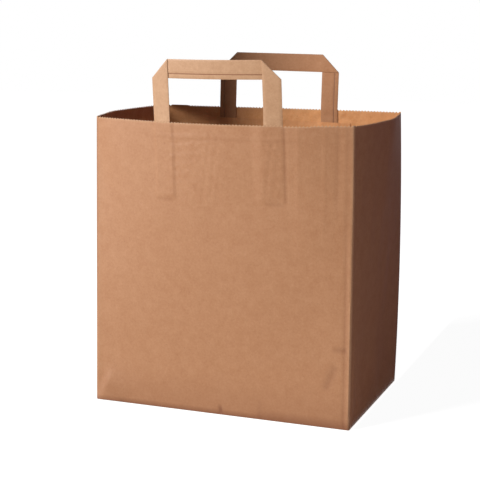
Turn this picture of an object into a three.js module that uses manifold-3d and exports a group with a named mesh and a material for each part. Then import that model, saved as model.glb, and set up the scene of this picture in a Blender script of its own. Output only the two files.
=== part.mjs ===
// A brown kraft paper carrier bag: one folded sheet with side gussets and a satchel
// bottom, two flat paper handles glued inside it, and a paper patch over each handle's ends.
// Millimetres, +Z up, front panel towards -Y, origin at the middle of the base.
import * as THREE from 'three';
import { mergeVertices } from 'three/addons/utils/BufferGeometryUtils.js';
import Module from 'manifold-3d';

const wasm = await Module();
wasm.setup();

// The bag, folded out.
const bagWidth = 260;
const bagDepth = 170;
const bagHeight = 280;
const paper = 0.2;
const creaseRadius = 1.6;
const baseFoldRadius = 0.6;

// How far each panel bows outward at the rim, and how the bow grows with height.
const frontBow = 22;
const rearBow = 5;
const gussetBow = 7;
const bowGrowth = 1.2;

// The gusset's own folds: the tip of its lower triangle is pushed in, and its middle
// crease, which was folded inward when the bag lay flat, stands out a little at the rim.
const gussetTipInset = 2.5;
const gussetRidge = 4;

// The rim is cut with a saw-tooth knife.
const toothPitch = 3.3;
const toothDepth = 0.8;
const rimBand = 3;

// The bottom: two side flaps, then the front flap, then the rear flap over it.
const flapOverlap = 30;

// The glued seam that closes the sheet into a tube, on the rear panel.
const seamWidth = 18;
const seamFromCorner = 12;

// A handle is a flat strip of three plies, folded over at 45 degrees at its upper corners.
const stripWidth = 19;
const stripPlies = 3;
const seamFromStripEdge = 4.8;
const handleWidth = 128;
const handleRise = 55;
const legBelowRim = 72;
const frontHandleShift = 1.5;
const rearHandleShift = -4;

// The patch that is glued over a handle's ends.
const patchWidth = 155;
const patchTopBelowRim = 13.5;
const patchBottomBelowLegs = 6;
const patchRamp = 4;

// Glue line between pieces, and how far plies are pressed into each other where two
// stretches of the one sheet lie on each other.
const glueLine = 0.3;
const plyBite = paper / 2;

// Facets: the widest step along a panel, up a panel and along a strip.
const panelStep = 13.5;
const gussetCells = 10;
const rowStep = 25;
const stripStep = 6.5;

const kraft = new THREE.Color('#bd8f6d');
const kraftInside = new THREE.Color('#c3946f');

// Closed surfaces are collected here: points at one place are one vertex, and a facet
// that has shrunk to a line is left out.
class Surface {
  constructor() {
    this.positions = [];
    this.triangles = [];
    this.known = new Map();
  }

  vertex(point) {
    const key = `${point.x.toFixed(5)} ${point.y.toFixed(5)} ${point.z.toFixed(5)}`;
    if (!this.known.has(key)) {
      this.known.set(key, this.positions.length / 3);
      this.positions.push(point.x, point.y, point.z);
    }
    return this.known.get(key);
  }

  triangle(a, b, c) {
    const corners = [this.vertex(a), this.vertex(b), this.vertex(c)];
    if (new Set(corners).size === 3) this.triangles.push(...corners);
  }

  // A four-sided facet, its corners in order; the fold line runs from a to c.
  quad(a, b, c, d) {
    this.triangle(a, b, c);
    this.triangle(a, c, d);
  }

  // The strip between a coarse line of points below and a finer one above it.
  stitch(lower, upper, flipped) {
    const half = Math.floor(upper.length / 2);
    const add = (a, b, c) => (flipped ? this.triangle(a, c, b) : this.triangle(a, b, c));
    for (let i = 0; i < half; i += 1) add(lower[0], upper[i + 1], upper[i]);
    add(lower[0], lower[1], upper[half]);
    for (let i = half; i < upper.length - 1; i += 1) add(lower[1], upper[i + 1], upper[i]);
  }

  solid() {
    return new wasm.Manifold(new wasm.Mesh({
      numProp: 3,
      vertProperties: new Float32Array(this.positions),
      triVerts: new Uint32Array(this.triangles),
    }));
  }
}

function joined(solids) {
  return solids.reduce((whole, next) => whole.add(next));
}

function solidOfGeometry(geometry) {
  geometry.deleteAttribute('normal');
  geometry.deleteAttribute('uv');
  const merged = mergeVertices(geometry);
  return new wasm.Manifold(new wasm.Mesh({
    numProp: 3,
    vertProperties: new Float32Array(merged.attributes.position.array),
    triVerts: new Uint32Array(merged.index.array),
  }));
}

function geometryOfSolid(solid) {
  const mesh = solid.getMesh();
  const geometry = new THREE.BufferGeometry();
  geometry.setAttribute('position', new THREE.BufferAttribute(mesh.vertProperties, 3));
  geometry.setIndex(new THREE.BufferAttribute(mesh.triVerts, 1));
  geometry.computeVertexNormals();
  return geometry;
}

// The four panels in order round the bag, seen from above against the clock.
const front = { length: bagWidth, bow: frontBow, gusset: false };
const right = { length: bagDepth, bow: gussetBow, gusset: true };
const rear = { length: bagWidth, bow: rearBow, gusset: false };
const left = { length: bagDepth, bow: gussetBow, gusset: true };
const panels = [front, right, rear, left];

// The bow at a height, as a share of the bow at the rim. Above the rim it goes on
// straight, so that the handles stand in line with their panels.
function bowShare(z) {
  const share = z / bagHeight;
  return share <= 1 ? share ** bowGrowth : 1 + bowGrowth * (share - 1);
}

// Paper doesn't stretch, so a bowed panel draws its two corners in by this much each.
function drawIn(panel, z) {
  const bow = panel.bow * bowShare(z);
  return (4 * bow * bow) / (3 * panel.length);
}

// Corner number k stands where panel k begins.
function cornerPoint(k, z) {
  const wide = k < 2 ? front : rear;
  const signX = k === 1 || k === 2 ? 1 : -1;
  const signY = k < 2 ? -1 : 1;
  const x = signX * (bagWidth / 2 - drawIn(wide, z));
  const y = signY * (bagDepth / 2 - drawIn(right, z));
  return new THREE.Vector2(x, y);
}

// The gusset's folds, as a share of its tip: a flat triangle on the base fold, and
// above it two faces that meet at the middle crease.
function gussetFold(u, z) {
  const tipHeight = bagDepth / 2;
  const acrossShare = 1 - Math.abs(2 * u - 1);
  const share = Math.min(z / tipHeight, acrossShare);
  const climb = Math.max(0, (z - tipHeight) / (bagHeight - tipHeight));
  return share * THREE.MathUtils.lerp(-gussetTipInset, gussetRidge, climb);
}

// How far the panel stands out from the straight line between its corners.
function outward(panel, u, z) {
  const arch = 1 - (2 * u - 1) ** 2;
  const fold = panel.gusset ? gussetFold(u, z) : 0;
  return panel.bow * bowShare(z) * arch + fold;
}

function outlinePoint(k, u, z) {
  const start = cornerPoint(k, z);
  const end = cornerPoint((k + 1) % 4, z);
  const along = end.clone().sub(start).normalize();
  const out = new THREE.Vector2(along.y, -along.x);
  return start.lerp(end, u).addScaledVector(out, outward(panels[k], u, z));
}

function inwardNormal(k, u, z) {
  const reach = 0.01;
  const before = outlinePoint(k, u - reach, z);
  const along = outlinePoint(k, u + reach, z).sub(before).normalize();
  return new THREE.Vector2(-along.y, along.x);
}

// A point of the sheet that leans out by some distance stands that much lower.
function standingHeight(panel, u, z) {
  const lean = outward(panel, u, z);
  return z > Math.abs(lean) ? Math.sqrt(z * z - lean * lean) : z;
}

// A point on panel k, u of the way along it, z up the sheet and some way inward.
function panelPoint(k, u, z, inward) {
  const flat = outlinePoint(k, u, z).addScaledVector(inwardNormal(k, u, z), inward);
  return new THREE.Vector3(flat.x, flat.y, standingHeight(panels[k], u, z));
}

// The columns of facets round the bag. A corner is a soft crease with two points
// between the panels that it joins.
function wallColumns() {
  const columns = [];
  panels.forEach((panel, k) => {
    const edge = creaseRadius / panel.length;
    const cells = panel.gusset ? gussetCells : Math.round(panel.length / panelStep);
    for (const share of [1 / 3, 2 / 3]) columns.push({ k, bend: share });
    for (let i = 0; i <= cells; i += 1) {
      columns.push({ k, u: THREE.MathUtils.clamp(i / cells, edge, 1 - edge) });
    }
  });
  return columns;
}

function wallPoint(column, z, inward) {
  const { k } = column;
  if (column.bend === undefined) return panelPoint(k, column.u, z, inward);
  const previous = (k + 3) % 4;
  const before = panelPoint(previous, 1 - creaseRadius / panels[previous].length, z, inward);
  const after = panelPoint(k, creaseRadius / panels[k].length, z, inward);
  const corner = cornerPoint(k, z)
    .addScaledVector(inwardNormal(previous, 1, z), inward)
    .addScaledVector(inwardNormal(k, 0, z), inward);
  const tip = new THREE.Vector3(corner.x, corner.y, z);
  return new THREE.QuadraticBezierCurve3(before, tip, after).getPoint(column.bend);
}

function wallHeights() {
  const heights = [baseFoldRadius];
  const lowerRows = gussetCells / 2;
  const tipHeight = bagDepth / 2;
  for (let i = 1; i <= lowerRows; i += 1) heights.push((tipHeight * i) / lowerRows);
  const top = bagHeight - rimBand;
  const upperRows = Math.round((top - tipHeight) / rowStep);
  for (let i = 1; i <= upperRows; i += 1) {
    heights.push(THREE.MathUtils.lerp(tipHeight, top, i / upperRows));
  }
  return heights;
}

// The saw-tooth line over one cell of the wall, on the straight line between its corners.
function toothLine(start, end) {
  const teeth = Math.max(1, Math.round(start.distanceTo(end) / toothPitch));
  const points = [];
  for (let i = 0; i <= 2 * teeth; i += 1) {
    const point = start.clone().lerp(end, i / (2 * teeth));
    if (i % 2 === 0) point.z -= toothDepth;
    points.push(point);
  }
  return points;
}

// The four walls as one closed band of paper, from the base fold to the saw-tooth rim.
function wallBand() {
  const surface = new Surface();
  const columns = wallColumns();
  const heights = wallHeights();
  const footOuter = (column) => wallPoint(column, 0, baseFoldRadius);
  const footInner = (column) => wallPoint(column, 0, baseFoldRadius + paper);
  columns.forEach((column, i) => {
    const next = columns[(i + 1) % columns.length];
    const falling = column.u !== undefined && column.u >= 0.5;
    const cell = (a, b, c, d) => (falling ? surface.quad(b, c, d, a) : surface.quad(a, b, c, d));
    const grid = (z, inward) => [wallPoint(column, z, inward), wallPoint(next, z, inward)];

    let outer = [footOuter(column), footOuter(next)];
    let inner = [footInner(column), footInner(next)];
    surface.quad(outer[0], inner[0], inner[1], outer[1]);
    for (const z of heights) {
      const outerNext = grid(z, 0);
      const innerNext = grid(z, paper);
      cell(outer[0], outer[1], outerNext[1], outerNext[0]);
      cell(inner[0], innerNext[0], innerNext[1], inner[1]);
      outer = outerNext;
      inner = innerNext;
    }
    const outerTeeth = toothLine(...grid(bagHeight, 0));
    const innerTeeth = toothLine(...grid(bagHeight, paper));
    surface.stitch(outer, outerTeeth, false);
    surface.stitch(inner, innerTeeth, true);
    for (let j = 0; j < outerTeeth.length - 1; j += 1) {
      surface.quad(outerTeeth[j], outerTeeth[j + 1], innerTeeth[j + 1], innerTeeth[j]);
    }
  });
  return surface.solid();
}

// Some plies of the bottom: a flat piece with its corners at the given points, whose
// top face is that of the ply with the given number.
function floorLayer(level, corners, plies = 1) {
  const shape = new THREE.Shape(corners.map(([x, y]) => new THREE.Vector2(x, y)));
  const lower = (level + 1 - plies) * paper - (level > 0 ? plyBite : 0);
  const thickness = (level + 1) * paper - lower;
  const geometry = new THREE.ExtrudeGeometry(shape, { depth: thickness, bevelEnabled: false });
  geometry.translate(0, 0, lower);
  return solidOfGeometry(geometry);
}

// The satchel bottom. Each flap begins at its own fold and reaches just past the middle.
// Between them a folded triangle lies at each corner. Those at the rear have the front
// flap's ply to spare, so they reach down to the rear flap.
function satchelBottom() {
  const reach = bagDepth / 2 + flapOverlap / 2;
  const inset = (level) => Math.max(0, baseFoldRadius - (level + 0.5) * paper) + paper / 2;
  const wideFlap = (level, side) => {
    const x = bagWidth / 2 - inset(level);
    const y = side * (bagDepth / 2 - inset(level));
    const tip = bagWidth / 2 - reach;
    const tipY = side * (bagDepth / 2 - reach);
    return floorLayer(level, [[-x, y], [x, y], [tip, tipY], [-tip, tipY]]);
  };
  const foldedTriangle = (level, sideX, sideY) => {
    const x = sideX * (bagWidth / 2 - inset(level));
    const y = sideY * (bagDepth / 2 - inset(level));
    const endX = sideX * (bagWidth / 2 - reach);
    const endY = sideY * (bagDepth / 2 - reach);
    return floorLayer(level, [[x, y], [endX, y], [endX, endY]], sideY > 0 ? 2 : 1);
  };
  const sideFlap = (level, sideX) => {
    const x = sideX * (bagWidth / 2 - inset(level));
    const endX = sideX * (bagWidth / 2 - reach);
    const y = bagDepth / 2 - inset(level);
    return floorLayer(level, [[x, -y], [x, y], [endX, y], [endX, -y]]);
  };
  const layers = [wideFlap(0, 1), wideFlap(1, -1)];
  for (const sideX of [-1, 1]) {
    layers.push(sideFlap(3, sideX));
    for (const sideY of [-1, 1]) layers.push(foldedTriangle(2, sideX, sideY));
  }
  return joined(layers);
}

// A sheet of paper on panel k. Its columns of facets stand at columns of s, measured
// along the sheet from the panel's middle, and its rows at shares of the way from
// low(s) to high(s). near and far give the distance of its two faces inward from the
// panel's skin.
function sheetOnPanel({ k, columns, shares, low, high, near, far }) {
  const surface = new Surface();
  const grid = (depth) => columns.map((s) => shares.map((share) => {
    const z = THREE.MathUtils.lerp(low(s), high(s), share);
    return panelPoint(k, 0.5 + s / panels[k].length, z, depth(s, z));
  }));
  const [outer, inner] = [grid(near), grid(far)];
  const [end, top] = [columns.length - 1, shares.length - 1];
  for (let j = 0; j < end; j += 1) {
    for (let i = 0; i < top; i += 1) {
      surface.quad(outer[j][i], outer[j + 1][i], outer[j + 1][i + 1], outer[j][i + 1]);
      surface.quad(inner[j][i], inner[j][i + 1], inner[j + 1][i + 1], inner[j + 1][i]);
    }
    surface.quad(outer[j][0], inner[j][0], inner[j + 1][0], outer[j + 1][0]);
    surface.quad(outer[j][top], outer[j + 1][top], inner[j + 1][top], inner[j][top]);
  }
  for (let i = 0; i < top; i += 1) {
    surface.quad(outer[0][i], outer[0][i + 1], inner[0][i + 1], inner[0][i]);
    surface.quad(outer[end][i], inner[end][i], inner[end][i + 1], outer[end][i + 1]);
  }
  return surface.solid();
}

// Even steps from one value to another, none wider than the step.
function evenSteps(from, to, step) {
  const count = Math.max(1, Math.ceil((to - from) / step));
  return Array.from({ length: count + 1 }, (_, i) => THREE.MathUtils.lerp(from, to, i / count));
}

// The same through a list of lines that all have to be kept.
function stepsThrough(lines, step) {
  const spans = lines.slice(1).map((end, i) => evenSteps(lines[i], end, step).slice(1));
  return [lines[0], ...spans.flat()];
}

// The overlap of the glued seam, a second ply inside the rear panel.
function gluedSeam() {
  const start = rear.length / 2 - seamFromCorner - seamWidth;
  const top = bagHeight - toothDepth - paper;
  const bottom = baseFoldRadius;
  return sheetOnPanel({
    k: 2,
    columns: evenSteps(start, start + seamWidth, stripStep),
    shares: evenSteps(0, 1, rowStep / bagHeight),
    low: () => bottom,
    high: () => top,
    near: () => paper - plyBite,
    far: () => 2 * paper,
  });
}

function bagBody() {
  return joined([wallBand(), satchelBottom(), gluedSeam()]);
}

// Where a handle's leg lies on its panel, from its outer to its inner side.
function legSpan(shift, side) {
  const outer = shift + side * (handleWidth / 2);
  return side < 0 ? [outer, outer + stripWidth] : [outer - stripWidth, outer];
}

// One handle on panel k, shifted along it. On the legs, the plain face of the strip is
// towards the panel. Folded over at the corners, the strip shows its other face, with
// the edge of its last ply, on the outside of the bar, which lies behind the legs.
function handle(k, shift) {
  const legBottom = bagHeight - legBelowRim;
  const barTop = bagHeight + handleRise;
  const barBottom = barTop - stripWidth;
  const [outerLeft, innerLeft] = legSpan(shift, -1);
  const [innerRight, outerRight] = legSpan(shift, 1);
  const mitre = (s) => Math.min(barTop, barBottom + s - outerLeft, barBottom + outerRight - s);

  const seamLeft = outerLeft + seamFromStripEdge;
  const seamRight = outerRight - seamFromStripEdge;
  const seamShare = seamFromStripEdge / stripWidth;
  const legShares = evenSteps(0, 1, rowStep / (legBelowRim + handleRise));
  const plies = (from, to) => {
    const depth = (count) => () => paper + glueLine + count * paper;
    return { near: depth(from), far: depth(to) };
  };
  const leg = (from, to, layer) => sheetOnPanel({
    k,
    columns: evenSteps(from, to, stripStep),
    shares: legShares,
    low: () => legBottom,
    high: () => barBottom,
    ...layer,
  });
  const bar = (from, to, shares, layer) => sheetOnPanel({
    k,
    columns: evenSteps(from, to, stripStep),
    shares,
    low: () => barBottom,
    high: mitre,
    ...layer,
  });

  // The last ply of the strip ends short of one edge. It faces inward on the legs and
  // outward on the bar, so there it is the first of the bar's plies.
  const legBack = plies(0, stripPlies - 1);
  const legSeamPly = plies(stripPlies - 1, stripPlies);
  const barSeamPly = plies(stripPlies, stripPlies + 1);
  const barBack = plies(stripPlies + 1, 2 * stripPlies);
  const parts = [
    leg(outerLeft, seamLeft, legBack),
    leg(seamRight, outerRight, legBack),
    bar(innerLeft, innerRight, [0, seamShare], barBack),
    bar(innerLeft, innerRight, [seamShare, 1], barBack),
    bar(innerLeft, innerRight, [seamShare, 1], barSeamPly),
  ];
  for (const layer of [legBack, legSeamPly]) {
    parts.push(leg(seamLeft, innerLeft, layer), leg(innerRight, seamRight, layer));
  }
  for (const layer of [legBack, legSeamPly, barSeamPly, barBack]) {
    for (const [from, to] of [
      [outerLeft, seamLeft], [seamLeft, innerLeft], [innerRight, seamRight], [seamRight, outerRight],
    ]) {
      parts.push(bar(from, to, [0, seamShare, 1], layer));
    }
  }
  return joined(parts);
}

// The patch lies on the panel, climbs over each leg and covers the legs' lower ends.
function patch(k, shift) {
  const legBottom = bagHeight - legBelowRim;
  const bottom = legBottom - patchBottomBelowLegs;
  const top = bagHeight - patchTopBelowRim;
  const legs = [legSpan(shift, -1), legSpan(shift, 1)];
  const climb = stripPlies * paper + glueLine;

  const lift = (s, z) => {
    const past = legs.map(([from, to]) => Math.max(from - s, s - to, legBottom - z, 0));
    return climb * Math.max(0, 1 - Math.min(...past) / patchRamp);
  };
  const sideLines = [
    shift - patchWidth / 2,
    ...legs.flatMap(([from, to]) => [from - patchRamp, from, to, to + patchRamp]),
    shift + patchWidth / 2,
  ];
  const heights = [bottom, legBottom - patchRamp, legBottom, top];
  const share = (z) => (z - bottom) / (top - bottom);
  const near = (s, z) => paper + glueLine + lift(s, z);
  return sheetOnPanel({
    k,
    columns: stepsThrough(sideLines, stripStep),
    shares: stepsThrough(heights, rowStep).map(share),
    low: () => bottom,
    high: () => top,
    near,
    far: (s, z) => near(s, z) + paper,
  });
}

function paperMesh(name, solid, color) {
  const material = new THREE.MeshStandardMaterial({ color, roughness: 0.85, metalness: 0 });
  const mesh = new THREE.Mesh(geometryOfSolid(solid), material);
  mesh.name = name;
  return mesh;
}

const bag = new THREE.Group();
bag.add(paperMesh('bag_body', bagBody(), kraft));
bag.add(paperMesh('front_handle', handle(0, frontHandleShift), kraft));
bag.add(paperMesh('rear_handle', handle(2, -rearHandleShift), kraft));
bag.add(paperMesh('front_patch', patch(0, frontHandleShift), kraftInside));
bag.add(paperMesh('rear_patch', patch(2, -rearHandleShift), kraftInside));

export default bag;
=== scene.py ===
"""Looks of a brown kraft paper carrier bag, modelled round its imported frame.

The bag stands open and empty. It is one folded sheet with side gussets and a satchel
bottom, with two flat paper handles and two paper patches glued inside it.
Metres, +Z up, front panel towards -Y, origin at the middle of the base.
"""
import logging
import math
from contextlib import contextmanager
from dataclasses import dataclass, field
from enum import Enum
from typing import Callable, Iterator

import bmesh
import bpy
import numpy as np
from mathutils import Matrix, Vector

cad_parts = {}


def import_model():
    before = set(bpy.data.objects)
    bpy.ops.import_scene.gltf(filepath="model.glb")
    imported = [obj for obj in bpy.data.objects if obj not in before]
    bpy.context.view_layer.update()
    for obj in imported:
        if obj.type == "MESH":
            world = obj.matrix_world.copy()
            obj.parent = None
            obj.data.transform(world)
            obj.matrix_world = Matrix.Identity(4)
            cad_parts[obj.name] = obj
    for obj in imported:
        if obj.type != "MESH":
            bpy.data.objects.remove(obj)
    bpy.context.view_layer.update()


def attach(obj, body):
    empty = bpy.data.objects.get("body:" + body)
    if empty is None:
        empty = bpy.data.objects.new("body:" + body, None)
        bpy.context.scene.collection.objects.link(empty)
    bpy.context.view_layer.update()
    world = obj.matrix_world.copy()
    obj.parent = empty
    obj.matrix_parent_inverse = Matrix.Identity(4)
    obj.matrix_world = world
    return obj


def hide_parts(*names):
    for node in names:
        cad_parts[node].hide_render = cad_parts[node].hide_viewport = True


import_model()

MM = 0.001

# Two places that are closer than this are taken as one.
TOUCH = 0.01 * MM

log = logging.getLogger("paper_bag")

Points = np.ndarray
Reshape = Callable[[Points], Points]


class Side(Enum):
    """The two wide panels, by the direction that each faces along Y."""

    FRONT = -1
    REAR = 1


class End(Enum):
    """The two ends of a handle, by direction along X."""

    LEFT = -1
    RIGHT = 1


# Modelling helpers


def deselect_all() -> None:
    """Leave object mode with nothing selected."""
    if bpy.context.object and bpy.context.object.mode != "OBJECT":
        bpy.ops.object.mode_set(mode="OBJECT")
    bpy.ops.object.select_all(action="DESELECT")


def make_active(piece: bpy.types.Object) -> None:
    """Select one piece alone and make it the active one.

    Args:
        piece: The piece.
    """
    deselect_all()
    piece.select_set(True)
    bpy.context.view_layer.objects.active = piece


def finish_primitive(name: str) -> bpy.types.Object:
    """Name the primitive that was just added and put its place into its mesh.

    Args:
        name: The name of the new piece.

    Returns:
        The new piece, at the origin, unturned and unscaled.
    """
    piece = bpy.context.object
    piece.name = name
    bpy.ops.object.transform_apply(location=True, rotation=True, scale=True)
    return piece


def add_box(name: str, low: Vector, high: Vector) -> bpy.types.Object:
    """Add a box between two corners.

    Args:
        name: The name of the new piece.
        low: Its lowest corner.
        high: Its highest corner.

    Returns:
        The box.
    """
    deselect_all()
    bpy.ops.mesh.primitive_cube_add(size=1, location=(low + high) / 2, scale=high - low)
    return finish_primitive(name)


def add_sheet(name: str, width: float, height: float, columns: int, rows: int) -> bpy.types.Object:
    """Add a flat upright sheet whose lower edge is centred on the origin.

    Args:
        name: The name of the new piece.
        width: Its size along X.
        height: Its size along Z.
        columns: How many facets lie along X.
        rows: How many facets lie along Z.

    Returns:
        The sheet, which faces -Y.
    """
    deselect_all()
    bpy.ops.mesh.primitive_grid_add(
        x_subdivisions=columns,
        y_subdivisions=rows,
        size=1,
        location=(0, 0, height / 2),
        rotation=(math.pi / 2, 0, 0),
    )
    bpy.context.object.scale = (width, height, 1)
    return finish_primitive(name)


@contextmanager
def editing(piece: bpy.types.Object) -> Iterator[None]:
    """Hold one piece in edit mode, with none of its mesh selected at first.

    Args:
        piece: The piece.

    Returns:
        The stretch of work in edit mode.
    """
    make_active(piece)
    bpy.ops.object.mode_set(mode="EDIT")
    bpy.ops.mesh.select_all(action="DESELECT")
    yield
    bpy.ops.object.mode_set(mode="OBJECT")


def pick_edges(piece: bpy.types.Object, wanted: Callable[[Vector, Vector], bool]) -> None:
    """Select the edges whose two ends pass a test.

    Args:
        piece: The piece in edit mode.
        wanted: The test, given the places of an edge's two ends.
    """
    bpy.ops.mesh.select_all(action="DESELECT")
    bpy.ops.mesh.select_mode(type="EDGE")
    mesh = bmesh.from_edit_mesh(piece.data)
    for edge in mesh.edges:
        edge.select_set(wanted(edge.verts[0].co, edge.verts[1].co))
    bmesh.update_edit_mesh(piece.data)


def pick_faces(piece: bpy.types.Object, wanted: Callable[[bmesh.types.BMFace], bool]) -> None:
    """Select the faces that pass a test.

    Args:
        piece: The piece in edit mode.
        wanted: The test, given a face.
    """
    bpy.ops.mesh.select_all(action="DESELECT")
    bpy.ops.mesh.select_mode(type="FACE")
    mesh = bmesh.from_edit_mesh(piece.data)
    for face in mesh.faces:
        face.select_set(wanted(face))
    bmesh.update_edit_mesh(piece.data)


def cut_along(piece: bpy.types.Object, axis: int, longer_than: float, cuts: int) -> None:
    """Cut all edges that run along one axis into equal lengths.

    Args:
        piece: The piece in edit mode.
        axis: 0, 1 or 2 for X, Y or Z.
        longer_than: Edges shorter than this along the axis stay whole.
        cuts: How many cuts each edge gets.
    """
    pick_edges(piece, lambda a, b: abs(a[axis] - b[axis]) > longer_than)
    bpy.ops.mesh.subdivide(number_cuts=cuts)


def points_of(piece: bpy.types.Object) -> Points:
    """Read the places of a piece's vertices, one row each.

    Args:
        piece: The piece in object mode.

    Returns:
        The places.
    """
    places = np.empty(len(piece.data.vertices) * 3)
    piece.data.vertices.foreach_get("co", places)
    return places.reshape(-1, 3)


def reshape(piece: bpy.types.Object, *steps: Reshape) -> None:
    """Move a piece's vertices by one step after another.

    Args:
        piece: The piece in object mode.
        steps: Functions from all places to all new places.
    """
    points = points_of(piece)
    for step in steps:
        points = step(points)
    piece.data.vertices.foreach_set("co", points.ravel())
    piece.data.update()


def record(piece: bpy.types.Object, name: str, values: np.ndarray) -> None:
    """Store one number for each vertex, which a material can read by its name."""
    layer = piece.data.attributes.new(name, "FLOAT", "POINT")
    layer.data.foreach_set("value", values.astype(np.float32))


def thicken(piece: bpy.types.Object, thickness: float, offset: float, inner_material: int = 0) -> None:
    """Give a sheet its thickness, with the second material on its cut edges.

    Args:
        piece: The sheet.
        thickness: The thickness of the paper.
        offset: -1 to grow against the sheet's normals, 1 to grow along them.
        inner_material: The number of the material on the face that is new.
    """
    make_active(piece)
    solidify = piece.modifiers.new("Thickness", "SOLIDIFY")
    solidify.thickness = thickness
    solidify.offset = offset
    solidify.material_offset = inner_material
    solidify.material_offset_rim = 1
    bpy.ops.object.modifier_apply(modifier=solidify.name)


def smooth(piece: bpy.types.Object, angle: float = 40) -> None:
    """Shade a piece smooth, apart from its edges that are sharper than an angle in degrees."""
    make_active(piece)
    bpy.ops.object.shade_smooth_by_angle(angle=math.radians(angle))


def join(name: str, pieces: list[bpy.types.Object]) -> bpy.types.Object:
    """Join pieces into one, which keeps the first piece's materials.

    Args:
        name: The name of the joined piece.
        pieces: The pieces, of which the first stays.

    Returns:
        The joined piece.
    """
    deselect_all()
    for piece in pieces:
        piece.select_set(True)
    bpy.context.view_layer.objects.active = pieces[0]
    bpy.ops.object.join()
    pieces[0].name = name
    return pieces[0]


# Forms that paper takes


def soft_step(value: np.ndarray, start: float, end: float) -> np.ndarray:
    """Rise smoothly from 0 at the start to 1 at the end."""
    share = np.clip((value - start) / (end - start), 0, 1)
    return share * share * (3 - 2 * share)


def soft_band(value: np.ndarray, low: float, high: float, edge: float) -> np.ndarray:
    """Be 1 between two values and fall to 0 outside them, over the width of an edge."""
    return soft_step(value, low - edge, low) * (1 - soft_step(value, high, high + edge))


def hump(value: np.ndarray, middle: float, width: float) -> np.ndarray:
    """Be 1 at the middle and fall off on both sides, to about a third at half the width."""
    return np.exp(-(((value - middle) / (width / 2)) ** 2))


def along_line(
    s: np.ndarray, z: np.ndarray, start: tuple[float, float], end: tuple[float, float]
) -> tuple[np.ndarray, np.ndarray]:
    """Measure points against a straight line on a panel.

    Args:
        s: Places along the panel.
        z: Heights.
        start: The line's first point.
        end: Its last point.

    Returns:
        The distance to the left of the line, and the share of the way along it.
    """
    run, rise = end[0] - start[0], end[1] - start[1]
    length = math.hypot(run, rise)
    away = ((z - start[1]) * run - (s - start[0]) * rise) / length
    share = ((s - start[0]) * run + (z - start[1]) * rise) / length**2
    return away, share


def fold_line(
    s: np.ndarray,
    z: np.ndarray,
    start: tuple[float, float],
    end: tuple[float, float],
    width: float,
) -> np.ndarray:
    """Be 1 on a straight crease, falling off beside it and towards its two ends."""
    away, share = along_line(s, z, start, end)
    return hump(away, 0, width) * soft_band(share, 0.12, 0.88, 0.2)


def undulation(
    s: np.ndarray, z: np.ndarray, seed: int, shortest: float, longest: float, tall: float = 1.0
) -> np.ndarray:
    """Make the calm, irregular waviness of a sheet that has been folded and opened.

    Args:
        s: Places along the panel.
        z: Heights.
        seed: The number that the waves are drawn from.
        shortest: The shortest wave.
        longest: The longest wave.
        tall: How much longer the waves are along Z than along the panel.

    Returns:
        Heights of the surface, about as high as 1 either way.
    """
    draw = np.random.default_rng(seed)
    waves = 16
    total = np.zeros_like(s)
    for _ in range(waves):
        wave = shortest * (longest / shortest) ** draw.uniform()
        angle, phase = draw.uniform(0, math.pi), draw.uniform(0, 2 * math.pi)
        way = s * math.cos(angle) + z * math.sin(angle) / tall
        total += wave / longest * np.cos(2 * math.pi * way / wave + phase)
    return total / math.sqrt(waves / 2)


@dataclass(frozen=True)
class HandlePlace:
    """Where a handle was glued on, and how it leans.

    Its skew is how far its top stands to the left, and its lean how far it stands inward
    above the rim, both for each unit of height. Its tilt is the bar's rise to the right.
    """

    middle: float
    lift: float = 0.0
    skew: float = 0.0
    lean: float = 0.0
    tilt: float = 0.0

    def place(self, points: Points) -> Points:
        """Move places from the handle's own frame, which starts at the rim, to the panel.

        Args:
            points: Places along the strip's panel, inward of it and above the rim.

        Returns:
            The same places from the panel's middle and its rim.
        """
        s, inward, up = points.T
        free = np.clip(up - MM, 0, None)
        along = self.middle + s - up * self.skew
        return np.column_stack([along, inward + self.lean * free, up + self.lift + s * self.tilt])

    def local(self, s: np.ndarray, up: np.ndarray) -> tuple[np.ndarray, np.ndarray]:
        """Give places on the panel in the handle's own frame."""
        up = up - self.lift
        return s - self.middle + up * self.skew, up


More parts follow.
